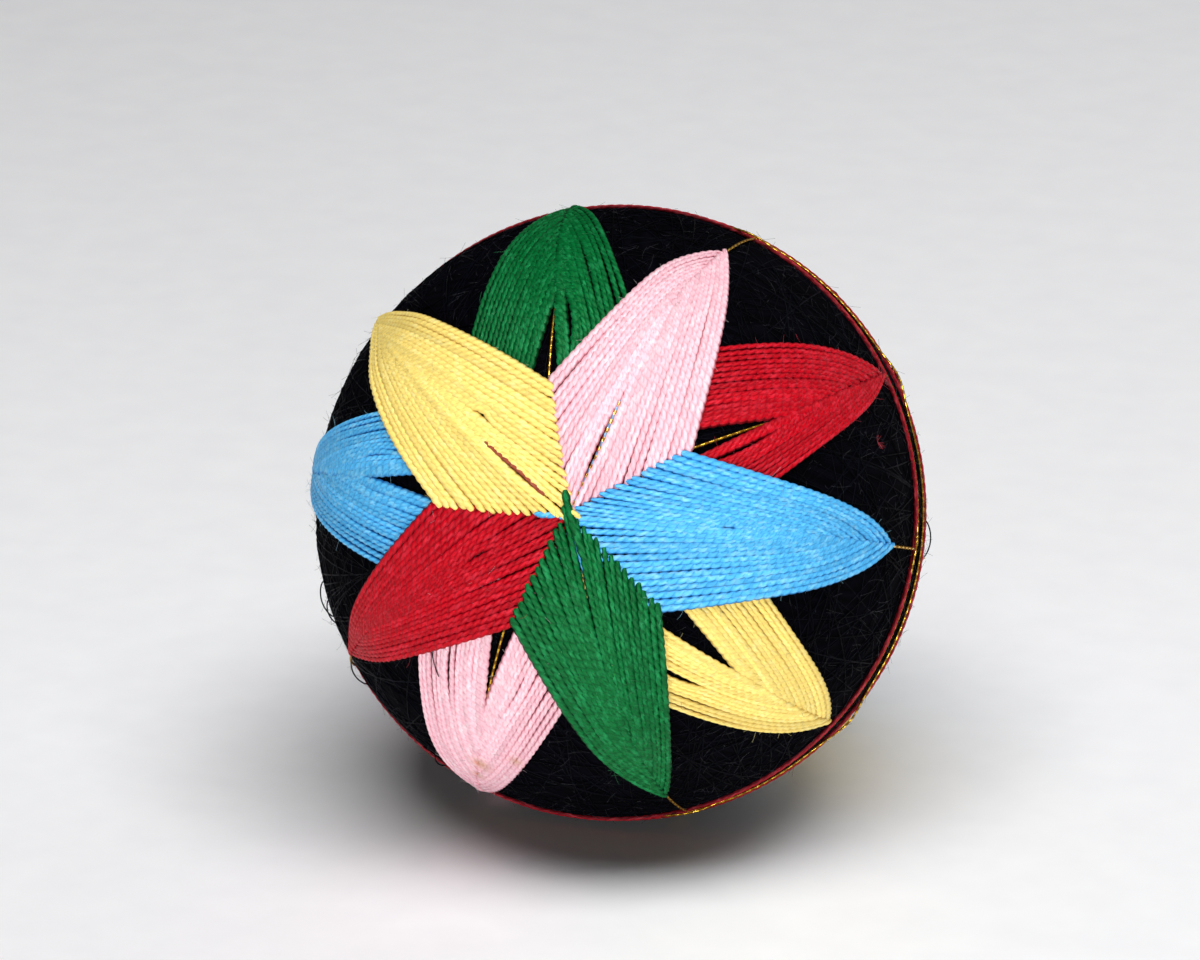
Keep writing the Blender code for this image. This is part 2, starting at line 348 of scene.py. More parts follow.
# How closely the threads lie, by shares of the way to the apex: apart near the start of a lower petal, and
# crowded over each other towards every tip.
CLOSENESS_PLACES = (0.0, 0.4, 0.7, 0.95)
LOWER_CLOSENESS, UPPER_CLOSENESS = (0.64, 0.78, 1.02, 1.25), (0.86, 1.02, 1.05, 1.25)

COTTON = {
    # colour: crest of the thread, its groove colour for the painted shade between the plies, and its glint
    # colour for painted highlights
    "pink": ("F6C6D1", "D88A98", "FFF2F3"),
    "blue": ("54B8EE", "2074BC", "ACECFF"),
    "green": ("00662E", "002E12", "2CA864"),
    "red": ("BC0419", "5C000A", "E8384C"),
    "yellow": ("FBE07C", "E0BC62", "FFF8B4"),
}
RUST = "B07A2C"


def pearl_cotton(name, crest, painted_groove_shade, painted_glint):
    """Mercerised cotton, two plies: silky, in its dyed colour along each ply's crest, with painted shade in a
    deeper colour down each ply's sides, where one ply dives under the other and in the gaps between its
    fibres, and painted glints along the fibres. The fibres are drawn about 0.5 mm wide and 1.7 mm long,
    coarser than they are, and each thread has its own."""
    material, tree, shader = new_material(f"mercerised_pearl_cotton_{name}")
    uv = add_node(tree, "UVMap", {"uv_map": "thread"})
    shade = add_node(tree, "Attribute", {"attribute_name": "shade"})
    stain = add_node(tree, "Attribute", {"attribute_name": "stain"})
    parts = add_node(tree, "SeparateXYZ", {}, {0: uv.outputs["UV"]})
    around, along = parts.outputs["X"], parts.outputs["Y"]
    line = add_node(tree, "CombineXYZ", {}, {"X": around, "Y": along, "Z": shade.outputs["Fac"]})
    stretched = add_node(tree, "Mapping", {"Scale": (4.5, 0.6, 60.0)}, {"Vector": line.outputs["Vector"]})
    fibre = add_node(tree, "TexNoise", {"Scale": 1.0, "Detail": 2.0}, {"Vector": stretched.outputs["Vector"]})

    # painted shade: darker down the ply's own sides and in the gaps between its fibres
    twice_around = add_node(tree, "Math", {"operation": "MULTIPLY", 1: 4.0 * math.pi}, {0: around})
    sides = add_node(tree, "Math", {"operation": "COSINE"}, {0: twice_around.outputs[0]})
    side_range = {"From Min": -0.9, "From Max": 0.9, "To Max": 1.0}
    side = add_node(tree, "MapRange", side_range, {"Value": sides.outputs[0]})
    gap_range = {"From Min": 0.46, "From Max": 0.3, "To Max": 0.3}
    gap = add_node(tree, "MapRange", gap_range, {"Value": fibre.outputs["Fac"]})
    side_and_gap_shade = add_node(tree, "Math", {"operation": "MAXIMUM"}, {0: side.outputs[0], 1: gap.outputs[0]})

    # painted shade along the line where one ply dives under the other, once for each half turn of the twist
    turn = {"operation": "MULTIPLY_ADD", 1: MM / THREAD_TURN}
    turned = add_node(tree, "Math", turn, {0: along, 2: shade.outputs["Fac"]})
    across = add_node(tree, "Math", {"operation": "SUBTRACT"}, {0: turned.outputs[0], 1: around})
    helix = add_node(tree, "Math", {"operation": "MULTIPLY", 1: 4.0 * math.pi}, {0: across.outputs[0]})
    between_plies = add_node(tree, "Math", {"operation": "COSINE"}, {0: helix.outputs[0]})
    twist_range = {"From Min": -0.5, "From Max": -1.0, "To Max": 0.5}
    twist_line_shade = add_node(tree, "MapRange", twist_range, {"Value": between_plies.outputs[0]})
    # how much painted shade each place gets: the most of the three
    painted_shade = add_node(tree, "Math", {"operation": "MAXIMUM"}, {0: side_and_gap_shade.outputs[0], 1: twist_line_shade.outputs[0]})

    # the dye's colour at the crest, mixed towards the groove colour where the painted shade falls
    dyed = {"data_type": "RGBA", 6: srgb(crest), 7: srgb(painted_groove_shade)}
    base = add_node(tree, "Mix", dyed, {0: painted_shade.outputs[0]})
    # painted highlights: the fibre noise's brightest places mixed towards the glint colour
    glint_range = {"From Min": 0.5, "From Max": 0.72, "To Max": 0.4}
    bright = add_node(tree, "MapRange", glint_range, {"Value": fibre.outputs["Fac"]})
    shining = {"data_type": "RGBA", 7: srgb(painted_glint)}
    lit = add_node(tree, "Mix", shining, {0: bright.outputs[0], 6: base.outputs[2]})
    value = add_node(tree, "MapRange", {"To Min": 0.84, "To Max": 1.06}, {"Value": shade.outputs["Fac"]})
    toned = add_node(tree, "HueSaturation", {}, {"Color": lit.outputs[2], "Value": value.outputs[0]})
    rust = {"data_type": "RGBA", 7: srgb(RUST)}
    spotted = add_node(tree, "Mix", rust, {0: stain.outputs["Fac"], 6: toned.outputs["Color"]})
    bump = add_node(tree, "Bump", {"Strength": 0.7, "Distance": 0.05 * MM}, {"Height": fibre.outputs["Fac"]})
    tree.links.new(spotted.outputs[2], shader.inputs["Base Color"])
    tree.links.new(bump.outputs["Normal"], shader.inputs["Normal"])
    shader.inputs["Roughness"].default_value = 0.45
    shader.inputs["IOR"].default_value = 1.53
    shader.inputs["Specular IOR Level"].default_value = 0.1
    return material


cotton = {colour: pearl_cotton(colour, *tones) for colour, tones in COTTON.items()}


def place_on_ball(azimuth, colatitude, pole_sign=1):
    """The direction from the centre to a place near the front pole, or with -1 the back pole, in degrees."""
    around, down = math.radians(azimuth), math.radians(colatitude)
    out = SIDE * math.cos(around) + RISE * math.sin(around)
    return out * math.sin(down) + POLE * pole_sign * math.cos(down)


def colatitude_of(ways):
    """How many degrees each direction is from the nearer pole."""
    return np.degrees(np.arccos(np.abs(ways @ POLE)))


def between(start, end, share):
    """Directions at those shares of the way along the great circle, and past its ends."""
    share = np.atleast_1d(share)[:, None]
    whole = math.acos(min(1.0, float(start @ end)))
    return (start * np.sin((1.0 - share) * whole) + end * np.sin(share * whole)) / math.sin(whole)


def eased(share):
    """A share from 0 to 1, with a soft start and a soft end."""
    return share * share * (3.0 - 2.0 * share)


def rise_of_upper(ways):
    """How far an upper petal's thread is lifted by the petals under it: fully near the pole, not at its
    tip."""
    full, none = 48.0, 62.0
    return LAYER_RISE * (1.0 - eased(np.clip((colatitude_of(ways) - full) / (none - full), 0.0, 1.0)))


def stitched_leg(start, apex, spacing, step, past_start, past_apex, end_lift, apex_lift, lifted, pushes):
    """One leg of a V: taut from its start to its apex, a little past both, dipping where it enters the
    ball. A positive lift carries an end over its neighbours first."""
    whole = math.acos(float(start @ apex)) * LOWER_RADIUS
    length = whole + past_start + past_apex
    count = max(8, int(length / step))
    along = np.linspace(0.0, length, count)
    share = (along - past_start) / whole
    ways = between(start, apex, share)
    sideways = unit(np.cross(ways, between(start, apex, share + 0.01) - ways))
    sway = SWAY * np.sin(along / SWAY_LENGTH + random.uniform(0, 6.3))
    (spread, opening), (spread_next, _) = [push(ways, share) for push in pushes]
    sway = sway + spread + opening
    radius = np.full(count, LOWER_RADIUS) + random.uniform(-0.03, 0.03) * MM
    if lifted:
        radius = radius + rise_of_upper(ways)
    from_start, from_apex = along, length - along
    for away, lift in ((from_start, end_lift), (from_apex, apex_lift)):
        radius = radius + lift * eased(np.clip(1.0 - away / LIFT_LENGTH, 0.0, 1.0))
        radius = radius - DIP_DEPTH * np.clip(1.0 - away / DIP_LENGTH, 0.0, 1.0) ** 2
    path = CENTRE + ways * radius[:, None] + sideways * sway[:, None]
    gap = np.interp(share, (0.0, 1.0), spacing) + np.maximum(0.0, np.abs(spread_next) - np.abs(spread))
    closeness = UPPER_CLOSENESS if lifted else LOWER_CLOSENESS
    crowded = np.interp(share, CLOSENESS_PLACES, closeness) * random.uniform(*WIDTH_RANGE)
    half_width = np.clip(WIDTH_SHARE * gap * crowded, NARROWEST, WIDEST)
    half_height = np.clip(THREAD_HALF_HEIGHT * THREAD_HALF_WIDTH / half_width, FLATTEST, ROUNDEST)
    taper = np.interp(np.minimum(from_start, from_apex), TAPER_PLACES, TAPER)
    sides = 5 if step == FRONT_STEP else 4
    return thread(path, half_width * taper, half_height * taper, sides, random.uniform(), THREAD_TURN)


def pushed_rounds(bulges, rounds, slits=()):
    """How far the threads of each round are pushed sideways: outwards near the tip, where they pile up, by
    so much on the side before and after, and apart along the slits. A slit has the side and the round it
    opens beside (side 0 is the line between the legs), the colatitudes where it starts and ends, and its
    width."""
    def for_round(number, side):
        bulge = bulges[0] if side > 0 else bulges[1]

        def push(ways, share):
            colatitude = colatitude_of(ways)
            rounding = np.sin(np.clip(share, 0.0, 1.0) ** BULGE_POWER * math.pi)
            apart = 0.0 * share
            for slit_side, beside, start, end, width in slits:
                if slit_side * side < 0 or number < beside:
                    continue
                opening = np.sin(np.clip((colatitude - start) / (end - start), 0.0, 1.0) * math.pi)
                of_this_side = width * (0.5 if slit_side == 0 else 1.0)
                apart = apart + of_this_side * opening * math.exp((beside - number) / SLIT_FADE)
            return side * bulge * rounding * (number + 1) / rounds, side * apart
        return push
    return for_round


def petal_threads(wedge, tip, left, right, rounds, step, jitter, side_push, lifted=False,
                  ends=((0.0, 0.0), (0.0, 0.0)), inner_reach=0.0):
    """The legs of a petal's rounds. left and right each hold where the inner and the outer round start,
    seen from the flower's centre; ends say how far each side's ends run on and how far they are lifted."""
    threads = []
    tip_pitch = math.acos(float(wedge @ tip)) * LOWER_RADIUS / rounds
    for number in range(rounds):
        apex_share = (number + APEX_PLACE + random.uniform(-jitter, jitter) * APEX_JITTER) / rounds
        apex = between(wedge, tip, apex_share)[0]
        for side, (inner, outer) in ((1.0, left), (-1.0, right)):
            start_share = (number + START_PLACE + random.uniform(-jitter, jitter)) / rounds
            start = between(inner, outer, start_share)[0]
            along = unit(apex - start)
            lines = (outer - inner, tip - wedge)
            pitches = (math.acos(float(inner @ outer)) * LOWER_RADIUS / rounds, tip_pitch)
            spacing = [p * np.linalg.norm(np.cross(along, unit(line))) for p, line in zip(pitches, lines)]
            run_on, lift = ends[0] if side > 0 else ends[1]
            run_on = run_on + random.uniform(0.0, LONGEST_RUN_ON) * MM
            if number == 0 and side < 0:
                run_on = run_on + inner_reach
                lift = lift + REACH_LIFT * inner_reach
            past_apex, apex_lift = BEFORE_TURN if side > 0 else AFTER_TURN
            pushes = (side_push(number, side), side_push(number + 1, side))
            past_and_lifts = (run_on, past_apex, lift, apex_lift)
            threads += stitched_leg(start, apex, spacing, step, *past_and_lifts, lifted, pushes)
    return threads


FRONT_UPPER = {
    # colour: tip azimuth and colatitude, azimuth and colatitude of the corner after it
    "pink": (68.0, 68.5, 25.5, 27.0),
    "blue": (358.5, 74.0, 320.5, 28.0),
    "green": (289.5, 70.5, 256.5, 23.5),
    "red": (215.5, 67.5, 184.0, 22.5),
    "yellow": (145.5, 76.5, 99.0, 22.5),
}
FRONT_LOWER = {
    # colour: azimuth and colatitude of the tip, azimuth and colatitude of the end of the wedge between the
    # legs; then, on the side before and after: colatitude where the innermost thread starts, colatitude of
    # the corner, how far the outer rounds bulge out near the tip; then its slits
    "green": ((103.0, 83.5), (98.8, 44.0), (8.0, 7.0), (24.5, 34.0), (0.8 * MM, 0.5 * MM), [
        (-1, 3, 28.0, 46.0, 1.0 * MM),
        (-1, 10, 40.0, 62.0, 0.35 * MM),
    ]),
    "red": ((31.5, 83.5), (27.6, 51.0), (9.0, 6.5), (30.0, 30.0), (0.6 * MM, 0.6 * MM), [
        (-1, 3, 26.0, 50.0, 0.9 * MM),
    ]),
    "yellow": ((322.5, 81.5), (320.9, 51.0), (9.4, 9.4), (30.0, 34.0), (0.8 * MM, 0.6 * MM), [
        (-1, 8, 32.0, 46.0, 0.6 * MM),
    ]),
    "pink": ((250.0, 83.5), (252.4, 47.5), (6.5, 6.5), (30.0, 30.0), (0.6 * MM, 1.1 * MM), [
        (-1, 8, 32.0, 50.0, 0.5 * MM),
        (1, 6, 32.0, 44.0, 0.3 * MM),
        (-1, 3, 30.0, 42.0, 0.25 * MM),
    ]),
    "blue": ((177.5, 83.5), (177.1, 45.3), (7.0, 7.5), (30.0, 30.0), (0.6 * MM, 0.6 * MM), [
        (-1, 5, 34.0, 46.0, 0.5 * MM),
        (1, 2, 32.0, 46.0, 0.3 * MM),
    ]),
}
RUST_SPOTS = [
    # the middle of a stain on the pink petal, its radius and its strength
    (CENTRE + place_on_ball(252.5, 61.7) * LOWER_RADIUS, 1.2 * MM, 0.7),
    (CENTRE + place_on_ball(261.0, 55.9) * LOWER_RADIUS, 0.8 * MM, 0.6),
    (CENTRE + place_on_ball(251.5, 67.5) * LOWER_RADIUS, 0.9 * MM, 0.5),
]
upper_azimuths = [row[0] for row in FRONT_UPPER.values()]
stitched = {colour: [] for colour in FRONT_LOWER}  # all the threads of each colour, for their fuzz

for number, (colour, row) in enumerate(FRONT_LOWER.items()):
    tip, wedge, starts, corners, bulges, slits = row
    before, after = upper_azimuths[number - 1], upper_azimuths[number]
    threads = petal_threads(
        place_on_ball(*wedge),
        place_on_ball(*tip),
        (place_on_ball(before, starts[0]), place_on_ball(before, corners[0])),
        (place_on_ball(after, starts[1]), place_on_ball(after, corners[1])),
        LOWER_ROUNDS, FRONT_STEP, LOWER_JITTER, pushed_rounds(bulges, LOWER_ROUNDS, slits),
    )
    stitched[colour] += threads
    petal = joined_threads(f"front_lower_{colour}_threads", threads, cotton[colour], RUST_SPOTS)
    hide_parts(f"front_lower_{colour}")

# The back flower is even: its petals are 72 degrees apart, and its lower ones lie halfway between the upper
# ones.
PETAL_TURN, HALF_TURN = 72.0, 36.0
BACK_FIRST_AZIMUTH = 69.0
BACK_BULGES = (0.6 * MM, 0.6 * MM)
BACK_WEDGE = 43.0
BACK_LOWER_TIP, BACK_LOWER_CORNER, BACK_START = 82.0, 30.0, 6.0

for number, colour in enumerate(FRONT_LOWER):
    azimuth = BACK_FIRST_AZIMUTH + HALF_TURN - number * PETAL_TURN
    sides = [
        (place_on_ball(beside, BACK_START, -1), place_on_ball(beside, BACK_LOWER_CORNER, -1))
        for beside in (azimuth + HALF_TURN, azimuth - HALF_TURN)
    ]
    threads = petal_threads(
        place_on_ball(azimuth, BACK_WEDGE, -1),
        place_on_ball(azimuth, BACK_LOWER_TIP, -1),
        *sides, BACK_ROUNDS, BACK_STEP, LOWER_JITTER, pushed_rounds(BACK_BULGES, BACK_ROUNDS),
    )
    stitched[colour] += threads
    petal = joined_threads(f"back_lower_{colour}_threads", threads, cotton[colour])
    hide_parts(f"back_lower_{colour}")

# ----------------------------------------------------------------------------------------------------------
# The upper petals: the same pearl cotton, stitched over the lower ones until they close up around the pole.
# Their ends interlock at the seams, and a few inner rounds have spread apart.
# ----------------------------------------------------------------------------------------------------------
UPPER_ROUNDS = {"pink": 14, "blue": 15, "green": 13, "red": 13, "yellow": 15}
UPPER_WEDGE = 43.0
UPPER_JITTER, BACK_JITTER = 0.16, 0.12
BACK_UPPER_TIP, BACK_UPPER_CORNER = 69.0, 24.0
FLOWER_CENTRE = place_on_ball(338.0, 4.2)
BACK_CENTRE = place_on_ball(0.0, 0.01, -1)
OVER, UNDER = (0.75 * MM, 0.3 * MM), (0.25 * MM, -0.2 * MM)
UPPER_STITCHING = {
    # colour: ends at the corner before, ends at the corner after, how far the innermost thread reaches, how
    # far the outer rounds bulge out near the tip (on the side of the corner before and of the corner
    # after), slits, and how far from the centre the first thread of the side before starts, as a share of
    # the seam
    "pink": (UNDER, UNDER, 0.3 * MM, (1.3 * MM, 0.3 * MM), [(0, 0, 5.0, 27.0, 0.9 * MM)], 0.0),
    "blue": (OVER, (1.5 * MM, -0.2 * MM), 2.8 * MM, (1.3 * MM, 0.9 * MM), [
        (0, 0, 30.0, 35.5, 0.75 * MM),
    ], 0.0),
    "green": (OVER, OVER, 0.9 * MM, (0.3 * MM, 0.9 * MM), [(0, 3, 41.0, 50.0, 0.9 * MM)], 0.06),
    "red": (UNDER, UNDER, 0.6 * MM, (0.3 * MM, 0.3 * MM), [(-1, 1, 12.5, 20.0, 0.5 * MM)], 0.0),
    "yellow": (OVER, OVER, 0.9 * MM, (-0.5 * MM, 0.1 * MM), [
        (0, 0, 0.5, 16.5, 0.5 * MM),
        (-1, 4, 18.5, 23.5, 0.45 * MM),
    ], 0.0),
}


def path_along(ways, radius, step):
    """Points a step apart on the ball through a list of directions."""
    ways = np.asarray(ways)
    legs = [np.arccos(np.clip(a @ b, -1, 1)) for a, b in zip(ways, ways[1:])]
    along = np.concatenate([[0.0], np.cumsum(legs)]) * radius
    at = np.linspace(0.0, along[-1], max(4, int(along[-1] / step)))
    smooth = np.stack([np.interp(at, along, ways[:, axis]) for axis in range(3)], 1)
    return CENTRE + unit(smooth) * radius


def closing_stitch():
    """The last stitch of the green thread, over the flower's centre, from under the green petal's first
    round."""
    ways = [place_on_ball(*place) for place in ((304.5, 15.9), (317.7, 7.8), (350.1, 3.8), (42.3, 3.9))]
    path = path_along(ways, LOWER_RADIUS + 1.1 * MM, 0.3 * MM)
    depth = np.linspace(0.9, 0.0, len(path))[:, None] ** 2 * MM
    taper = np.interp(np.linspace(0.0, 1.0, len(path)), (0.0, 0.3, 0.92, 1.0), (0.6, 1.1, 0.95, 0.55))
    path = path - unit(path - CENTRE) * depth
    return thread(path, 0.58 * MM * taper, 0.36 * MM * taper, 5, 0.3, 1.4 * THREAD_TURN)


rows = list(FRONT_UPPER.items())
for number, (colour, (azimuth, tip_colatitude, corner_azimuth, corner_colatitude)) in enumerate(rows):
    corner_before = place_on_ball(*rows[number - 1][1][2:])
    corner_after = place_on_ball(corner_azimuth, corner_colatitude)
    rounds = UPPER_ROUNDS[colour]
    end_before, end_after, reach, bulges, slits, first = UPPER_STITCHING[colour]
    threads = petal_threads(
        place_on_ball(azimuth, UPPER_WEDGE),
        place_on_ball(azimuth, tip_colatitude),
        (between(FLOWER_CENTRE, corner_before, first)[0], corner_before),
        (FLOWER_CENTRE, corner_after),
        rounds, FRONT_STEP, UPPER_JITTER, pushed_rounds(bulges, rounds, slits),
        True, (end_before, end_after), reach,
    )
    if colour == "green":
        threads += closing_stitch()
    stitched[colour] += threads
    petal = joined_threads(f"front_upper_{colour}_threads", threads, cotton[colour])
    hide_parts(f"front_upper_{colour}")

for number, colour in enumerate(FRONT_UPPER):
    azimuth = BACK_FIRST_AZIMUTH - number * PETAL_TURN
    sides = [
        (BACK_CENTRE, place_on_ball(beside, BACK_UPPER_CORNER, -1))
        for beside in (azimuth + HALF_TURN, azimuth - HALF_TURN)
    ]
    threads = petal_threads(
        place_on_ball(azimuth, BACK_WEDGE, -1),
        place_on_ball(azimuth, BACK_UPPER_TIP, -1),
        *sides, BACK_ROUNDS, BACK_STEP, BACK_JITTER, pushed_rounds(BACK_BULGES, BACK_ROUNDS),
        True, UPPER_STITCHING[colour][:2],
    )
    stitched[colour] += threads
    petal = joined_threads(f"back_upper_{colour}_threads", threads, cotton[colour])
    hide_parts(f"back_upper_{colour}")

# ----------------------------------------------------------------------------------------------------------
# The guide threads: fine gold thread, metallised film spun around a core, laid from pole to pole through
# every petal before the stitching. It shows in the wedges and slits and from the upper petals' tips to the
# band.
# ----------------------------------------------------------------------------------------------------------
GUIDE_HALF_WIDTH = 0.19 * MM
GUIDE_TURN = 1.3 * MM
GUIDE_STEP = 0.5 * MM
GUIDE_RADIUS = 37.5 * MM + GUIDE_HALF_WIDTH
GUIDE_COLATITUDES = np.linspace(6.0, 86.0, 40)
SUNK_GUIDES = ("yellow", "blue")  # those of two lower petals lie under the black thread
FILM_TURN = 1.2  # mm between one painted glint of the film and the next


def metallised_thread(name, painted_glint_colour, between_glints_colour):
    """Metal film spun around a core thread: a brighter, smoother tone once in every FILM_TURN along it,
    painted glints where the film's wraps would face the light, and a darker, rougher one between."""
    material, tree, shader = new_material(name)
    uv = add_node(tree, "UVMap", {"uv_map": "thread"})
    parts = add_node(tree, "SeparateXYZ", {}, {0: uv.outputs["UV"]})
    per_glint = {"operation": "MULTIPLY", 1: 2.0 * math.pi / FILM_TURN}
    angle = add_node(tree, "Math", per_glint, {0: parts.outputs["Y"]})
    wave = add_node(tree, "Math", {"operation": "SINE"}, {0: angle.outputs[0]})
    # painted glints: how far each place is towards the bright glint tone
    film = add_node(tree, "MapRange", {"From Min": -0.3, "From Max": 0.3}, {"Value": wave.outputs[0]})
    tones = {"data_type": "RGBA", 6: srgb(between_glints_colour), 7: srgb(painted_glint_colour)}
    colour = add_node(tree, "Mix", tones, {0: film.outputs[0]})
    rough = add_node(tree, "MapRange", {"To Min": 0.5, "To Max": 0.26}, {"Value": film.outputs[0]})
    tree.links.new(colour.outputs[2], shader.inputs["Base Color"])
    tree.links.new(rough.outputs[0], shader.inputs["Roughness"])
    shader.inputs["Metallic"].default_value = 0.9
    return material


gold = metallised_thread("metallised_gold_thread", "E8B93E", "8A5F14")
# the slit guide's gold thread: the blue-grey between its glints is a painted reflection
gold_with_painted_reflection = metallised_thread("metallised_gold_thread_with_painted_reflection", "EFD070", "7FA6C4")
# a red thread painted a darker, browner russet: painted shade where it lies deep in the slit
red_in_painted_shade = pearl_cotton("red_in_painted_shade", "9A4A34", "5A2018", "B87A60")

guide_lines = [(1, np.full(40, azimuth)) for azimuth in upper_azimuths]
for colour, (tip, wedge, *_) in FRONT_LOWER.items():
    if colour not in SUNK_GUIDES:
        guide_lines.append((1, np.interp(GUIDE_COLATITUDES, (wedge[1], tip[1]), (wedge[0], tip[0]))))
for first in (BACK_FIRST_AZIMUTH, BACK_FIRST_AZIMUTH + HALF_TURN):
    guide_lines += [(-1, np.full(40, first - number * PETAL_TURN)) for number in range(5)]
guides = []
for pole_sign, line in guide_lines:
    ways = [place_on_ball(azimuth, down, pole_sign) for azimuth, down in zip(line, GUIDE_COLATITUDES)]
    path = path_along(ways, GUIDE_RADIUS, GUIDE_STEP)
    guides += thread(path, GUIDE_HALF_WIDTH, GUIDE_HALF_WIDTH, 4, random.uniform(), GUIDE_TURN)
guide = joined_threads("guide_threads", guides, gold)

# Three threads lie between the layers and show through the upper petals' slits: a gold one under the pink
# petal, with a painted blue-grey reflection between its glints, a blue one under the green petal and a red
# one under the yellow petal, painted a darker russet as painted shade down in its slit.
SLIT_RADIUS = LOWER_RADIUS + 0.9 * LAYER_RISE
SLIT_STEP = 0.35 * MM
SLIT_TURN = 1.6 * MM

slit_ways = [FLOWER_CENTRE, place_on_ball(50.0, 12.0), place_on_ball(62.0, 22.0), place_on_ball(67.0, 30.0)]
slit_path = path_along(slit_ways, SLIT_RADIUS, SLIT_STEP)
slit_tubes = thread(slit_path, 1.4 * GUIDE_HALF_WIDTH, GUIDE_HALF_WIDTH, 6, 0.2, 1.4 * GUIDE_TURN)
slit_guide = joined_threads("slit_guide_thread", slit_tubes, gold_with_painted_reflection)

green_ways = [place_on_ball(330.0, 4.6), place_on_ball(309.0, 9.0), place_on_ball(300.5, 16.0)]
green_path = path_along(green_ways, SLIT_RADIUS - 0.1 * MM, SLIT_STEP)
green_tubes = thread(green_path, 0.24 * MM, 0.18 * MM, 6, 0.4, SLIT_TURN)
under_green = joined_threads("thread_under_green_slit", green_tubes, cotton["blue"])

yellow_ways = [place_on_ball(120.0, 1.6), place_on_ball(137.0, 7.0), place_on_ball(143.0, 16.5)]
yellow_path = path_along(yellow_ways, SLIT_RADIUS + 0.15 * MM, SLIT_STEP)
yellow_tubes = thread(yellow_path, 0.36 * MM, 0.2 * MM, 6, 0.6, SLIT_TURN)
under_yellow = joined_threads("thread_under_yellow_slit", yellow_tubes, red_in_painted_shade)

# ----------------------------------------------------------------------------------------------------------
# The band around the middle: one round of deep red pearl cotton at each edge, and a gold thread beside each
# that crosses over it where it is tacked down at the guide threads.
# ----------------------------------------------------------------------------------------------------------
BAND_STEP = 0.4 * MM
BAND_RADIUS = 37.6 * MM
BAND_DRIFT, DRIFT_MIDDLE, DRIFT_WIDTH = 1.8, 138.0, 34.0  # degrees that the rounds sag by, and where
BAND_WAVER = 0.15  # degrees
RED_HALF_WIDTH, RED_TURN = 0.33 * MM, 2.4 * MM
GOLD_HALF_WIDTH, GOLD_TURN = 0.16 * MM, 1.4 * MM
TACK_WIDTH, TACK_LIFT = 5.0, 0.55 * MM  # degrees either side of a tack, and how far gold lies above red there
band_azimuths = np.append(np.arange(0.0, 360.0, 1.0), 361.0)
band_cotton = pearl_cotton("band_red", "A81424", "55040E", "E0525C")


def band_round(colatitudes, radius, half_width, turn):
    """A closed round of the band: the last point overlaps the first by a little, as the thread's own end
    does."""
    ways = [place_on_ball(azimuth, down) for azimuth, down in zip(band_azimuths, colatitudes)]
    path = path_along(ways, BALL_RADIUS, BAND_STEP)
    at = np.linspace(0.0, 1.0, len(path))
    radius = np.interp(at, np.linspace(0.0, 1.0, len(ways)), np.broadcast_to(radius, len(ways)))
    path = CENTRE + unit(path - CENTRE) * radius[:, None]
    return thread(path, half_width, half_width * 0.9, 4, 0.4, turn)


def along_band(colatitude, dip=0.0, tacks=()):
    """A round that runs level and dips towards the pole at the azimuths where it is tacked."""
    level = np.full(len(band_azimuths), colatitude)
    for tack in tacks:
        away = (band_azimuths - tack + 180.0) % 360.0 - 180.0
        level = level - dip * np.exp(-(away / TACK_WIDTH) ** 2)
    drift = np.exp(-(((band_azimuths - DRIFT_MIDDLE) / DRIFT_WIDTH) ** 2))
    return level + BAND_WAVER * np.sin(np.radians(band_azimuths * 5.0)) + BAND_DRIFT * drift


lower_azimuths = [row[0][0] for row in FRONT_LOWER.values()]
for name, colatitude in (("band_red_front", 85.8), ("band_red_back", 94.0)):
    threads = band_round(along_band(colatitude), BAND_RADIUS, RED_HALF_WIDTH, RED_TURN)
    piece = joined_threads(f"{name}_thread", threads, band_cotton)
    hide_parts(name)
for name, colatitude, dip, tacks in (
    ("band_gold_front", 86.95, 2.4, upper_azimuths[:3]),
    ("band_gold_back", 92.4, -2.4, lower_azimuths),
):
    level = along_band(colatitude, dip, tacks)
    lift = TACK_LIFT * np.abs(level - along_band(colatitude)) / abs(dip)
    threads = band_round(level, BAND_RADIUS + lift, GOLD_HALF_WIDTH, GOLD_TURN)
    piece = joined_threads(f"{name}_thread", threads, gold)
    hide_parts(name)

# ----------------------------------------------------------------------------------------------------------
# Fuzz: the loose fibre ends of spun thread, a fine dark halo on the black winding and a pale one on the
# cotton. There are fewer and thicker ones here than on real thread, whose fibres are about 0.015 mm thick.
# ----------------------------------------------------------------------------------------------------------
BLACK_FIBRES, COTTON_FIBRES = 3600, 450  # the cotton ones are for each colour
BLACK_FIBRE_HALF_WIDTH, COTTON_FIBRE_HALF_WIDTH = 0.016 * MM, 0.014 * MM
FIBRE_POINTS = 4


def fibre_finish(name, hex_colour):
    """A single textile fibre: satiny, and too fine for more than a slight change of tone along it, drawn a
    third of a millimetre long."""
    material, tree, shader = new_material(name)
    uv = add_node(tree, "UVMap", {"uv_map": "thread"})
    noise = add_node(tree, "TexNoise", {"Scale": 3.0}, {"Vector": uv.outputs["UV"]})
    tone = add_node(tree, "HueSaturation", {"Color": srgb(hex_colour)}, {"Value": noise.outputs["Fac"]})
    tree.links.new(tone.outputs["Color"], shader.inputs["Base Color"])
    shader.inputs["Roughness"].default_value = 0.5
    shader.inputs["IOR"].default_value = 1.55
    return material


def loose_fibre(way, radius, length, lift, half_width):
    """A short curly fibre that lifts off the surface towards its tip."""
    heading = unit(np.cross(way, random.normal(size=3)))
    bend = np.cross(way, heading) * random.uniform(-0.6, 0.6)
    share = np.linspace(0.0, 1.0, FIBRE_POINTS)[:, None]
    flat = heading * share * length + bend * length * share * share
    height = radius + lift * share ** 1.3
    return thread(CENTRE + way * height + flat, half_width, half_width, 3, random.uniform())


